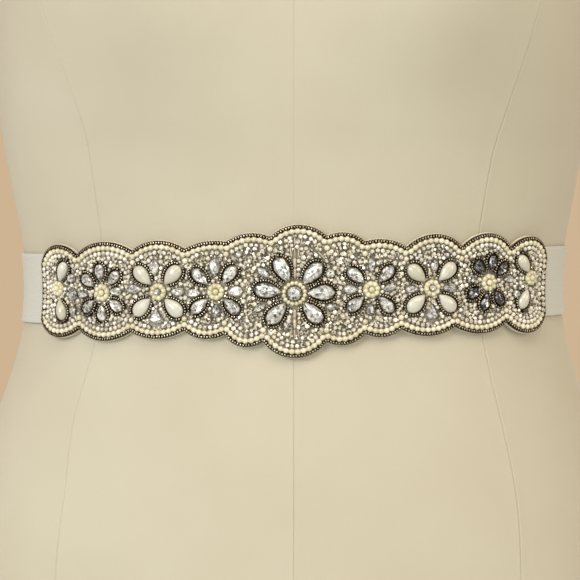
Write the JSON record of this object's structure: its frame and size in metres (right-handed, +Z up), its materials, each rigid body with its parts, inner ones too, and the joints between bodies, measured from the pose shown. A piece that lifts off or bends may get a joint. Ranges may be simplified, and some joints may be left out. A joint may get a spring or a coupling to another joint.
{
  "type": "beaded rhinestone belt on a dress form",
  "caption": "Scalloped bridal belt of beads, pearls and crystal flowers on elastic straps, hooked round a limbless dress form.",
  "frame": {"origin": "on the floor under the middle of the dress form, at the base board's underside", "axes": "+X to the picture's right, +Y from the belt's front towards the centre back, +Z up"},
  "size_m": [0.3698, 0.2545, 0.779],
  "materials": {
    "beadwork": "pearls, clear stones and dark metal beads sewn on cream felt",
    "elastic": "matte ribbed ivory elastic",
    "wire": "plain bent wire",
    "form_cover": "matte cream jersey with narrow seams",
    "form_board": "painted cream, satin"
  },
  "bodies": {
    "root": {"beaded_panel": "beadwork", "elastic_strap_left": "elastic", "elastic_strap_right": "elastic", "hook_1": "wire", "hook_2": "wire", "eye_1": "wire", "eye_2": "wire", "torso": "form_cover", "arm_plate_left": "form_cover", "arm_plate_right": "form_cover", "neck_cap": "form_cover", "base_board": "form_board"}
  },
  "joints": []
}
